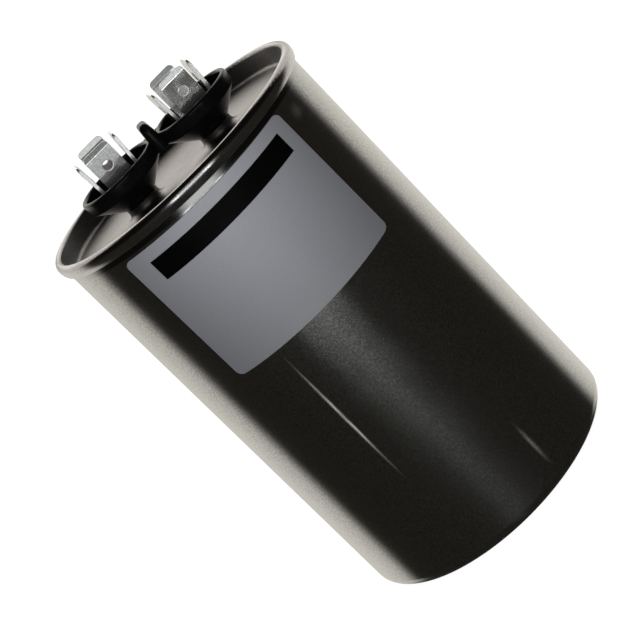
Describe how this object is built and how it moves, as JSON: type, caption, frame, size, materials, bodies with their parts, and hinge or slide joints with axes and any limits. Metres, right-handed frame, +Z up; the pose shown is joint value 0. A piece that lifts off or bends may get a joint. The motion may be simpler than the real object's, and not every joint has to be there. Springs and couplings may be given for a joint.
{
  "type": "film capacitor",
  "caption": "Round metal-can film capacitor with a double-seamed lid, a black cup insulator and push-on blade terminals.",
  "frame": {"origin": "centre of the can's flat base", "axes": "+Z up along the can's axis to the terminals, -Y towards the label, +X from the left terminal to the right one"},
  "size_m": [0.0658, 0.0658, 0.1123],
  "materials": {
    "can_metal": "dark satin",
    "lid_metal": "dark satin",
    "insulator_plastic": "semi-gloss",
    "terminal_metal": "bright tin plate",
    "rivet_metal": "satin",
    "seal_rubber": "matte",
    "washer_metal": "satin",
    "label_sheet": "satin"
  },
  "bodies": {
    "root": {"can": "can_metal", "lid": "lid_metal", "terminal_insulator": "insulator_plastic", "left_terminal": "terminal_metal", "right_terminal": "terminal_metal", "terminal_rivets": "rivet_metal", "inner_seals": "seal_rubber", "backing_washers": "washer_metal", "label": "label_sheet"}
  },
  "joints": []
}
